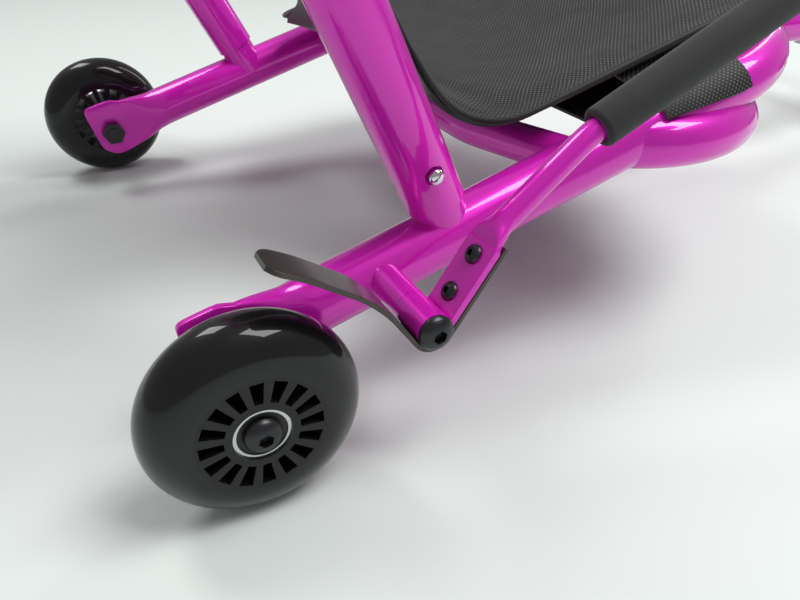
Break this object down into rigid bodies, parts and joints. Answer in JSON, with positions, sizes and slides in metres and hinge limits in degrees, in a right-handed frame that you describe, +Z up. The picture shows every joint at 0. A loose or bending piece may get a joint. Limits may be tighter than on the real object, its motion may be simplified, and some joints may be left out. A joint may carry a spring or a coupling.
{
  "type": "sit-down scooter",
  "caption": "Low sit-down scooter with a bucket seat on a bent tube frame, a hand brake on one rear wheel, and a telescopic steering front with foot bar and wheel",
  "frame": {"origin": "on the ground, under the middle of the scooter's bounding box", "axes": "+X forward to the foot bar, +Y to the rider's left, +Z up"},
  "size_m": [0.9609, 0.5, 0.3588],
  "materials": {
    "magenta_paint": "gloss clear coat over magenta",
    "black_paint": "satin powder coat",
    "black_bolts": "black oxide",
    "zinc_steel": "zinc plated",
    "bearing_steel": "ground steel",
    "chrome": "polished",
    "black_nylon": "moulded, matt",
    "tyre_black": "cast polyurethane, semi-gloss",
    "foam_black": "closed-cell foam",
    "seat_mesh": "woven mesh",
    "piping_black": "covered piping cord",
    "shell_grey": "moulded, satin"
  },
  "bodies": {
    "frame": {"arm_right": "magenta_paint", "arm_left": "magenta_paint", "seat_rail": "magenta_paint", "cross_tube": "magenta_paint", "front_bow": "magenta_paint", "head_tube": "magenta_paint", "head_bushes": "black_nylon", "backrest_stubs": "magenta_paint", "backrest_frame": "magenta_paint", "seat_pan": "black_paint", "seat_shell": "shell_grey", "seat_pad": "seat_mesh", "seat_piping": "piping_black", "arm_cover_right": "seat_mesh", "arm_cover_left": "seat_mesh", "seat_spacers": "black_nylon", "seat_screws": "black_bolts", "rear_axle_bolts": "black_bolts", "rear_axle_nuts": "black_bolts", "rear_axle_spacers": "zinc_steel", "brake_boss": "magenta_paint", "brake_pivot_bolt": "black_bolts", "brake_spring": "zinc_steel"},
    "snap_button_right": {"snap_button_right": "chrome"},
    "snap_button_left": {"snap_button_left": "chrome"},
    "rear_wheel_right": {"rear_tyre_right": "tyre_black", "rear_hub_right": "black_nylon", "rear_bearings_right": "bearing_steel", "rear_bearing_sleeve_right": "zinc_steel"},
    "rear_wheel_left": {"rear_tyre_left": "tyre_black", "rear_hub_left": "black_nylon", "rear_bearings_left": "bearing_steel", "rear_bearing_sleeve_left": "zinc_steel"},
    "brake": {"brake_hub": "magenta_paint", "brake_bush": "black_nylon", "brake_lever": "magenta_paint", "brake_grip": "foam_black", "brake_band": "black_paint", "band_screws": "black_bolts"},
    "front_section": {"steering_yoke": "magenta_paint", "king_bolt": "black_bolts", "king_nut": "zinc_steel", "outer_tube": "magenta_paint", "tube_liner": "black_nylon", "clamp_collar": "zinc_steel", "clamp_skewer": "zinc_steel", "clamp_nut": "zinc_steel"},
    "clamp_lever": {"clamp_lever": "black_paint"},
    "foot_section": {"inner_tube": "chrome", "fork": "magenta_paint", "foot_bar": "magenta_paint", "foot_grips": "foam_black", "foot_bar_caps": "black_nylon", "front_axle_bolt": "black_bolts", "front_axle_nut": "zinc_steel", "front_axle_spacers": "zinc_steel"},
    "front_wheel": {"front_tyre": "tyre_black", "front_hub": "black_nylon", "front_bearings": "bearing_steel", "front_bearing_sleeve": "zinc_steel"}
  },
  "joints": [
    {"name": "rear_wheel_right_spin", "type": "hinge", "parent": "frame", "child": "rear_wheel_right", "pos_m": [-0.43045, -0.227, 0.05], "axis": [0, 1, 0], "continuous": true},
    {"name": "rear_wheel_left_spin", "type": "hinge", "parent": "frame", "child": "rear_wheel_left", "pos_m": [-0.43045, 0.227, 0.05], "axis": [0, 1, 0], "continuous": true},
    {"name": "brake_pull", "type": "hinge", "parent": "frame", "child": "brake", "pos_m": [-0.34863, -0.232, 0.07657], "axis": [0, -1, 0], "range_deg": [0, 17], "stiffness_Nm_per_rad": 1, "springref_deg": -28.65},
    {"name": "snap_button_right_press", "type": "slide", "parent": "frame", "child": "snap_button_right", "axis": [-0.0511, 0.9934, 0.103], "range_m": [0, 0.006], "stiffness_N_per_m": 800, "springref_m": -0.002},
    {"name": "snap_button_left_press", "type": "slide", "parent": "frame", "child": "snap_button_left", "axis": [-0.0511, -0.9934, 0.103], "range_m": [0, 0.006], "stiffness_N_per_m": 800, "springref_m": -0.002},
    {"name": "steer", "type": "hinge", "parent": "frame", "child": "front_section", "pos_m": [-0.00595, 0, 0.11807], "axis": [0, 0, 1], "range_deg": [-40, 40]},
    {"name": "clamp_lever_swing", "type": "hinge", "parent": "front_section", "child": "clamp_lever", "pos_m": [0.20025, -0.0177, 0.14657], "axis": [-1, 0, 0], "range_deg": [0, 120]},
    {"name": "length_slide", "type": "slide", "parent": "front_section", "child": "foot_section", "axis": [1, 0, 0], "range_m": [0, 0.12]},
    {"name": "front_wheel_spin", "type": "hinge", "parent": "foot_section", "child": "front_wheel", "pos_m": [0.40795, 0, 0.0725], "axis": [0, 1, 0], "continuous": true}
  ]
}
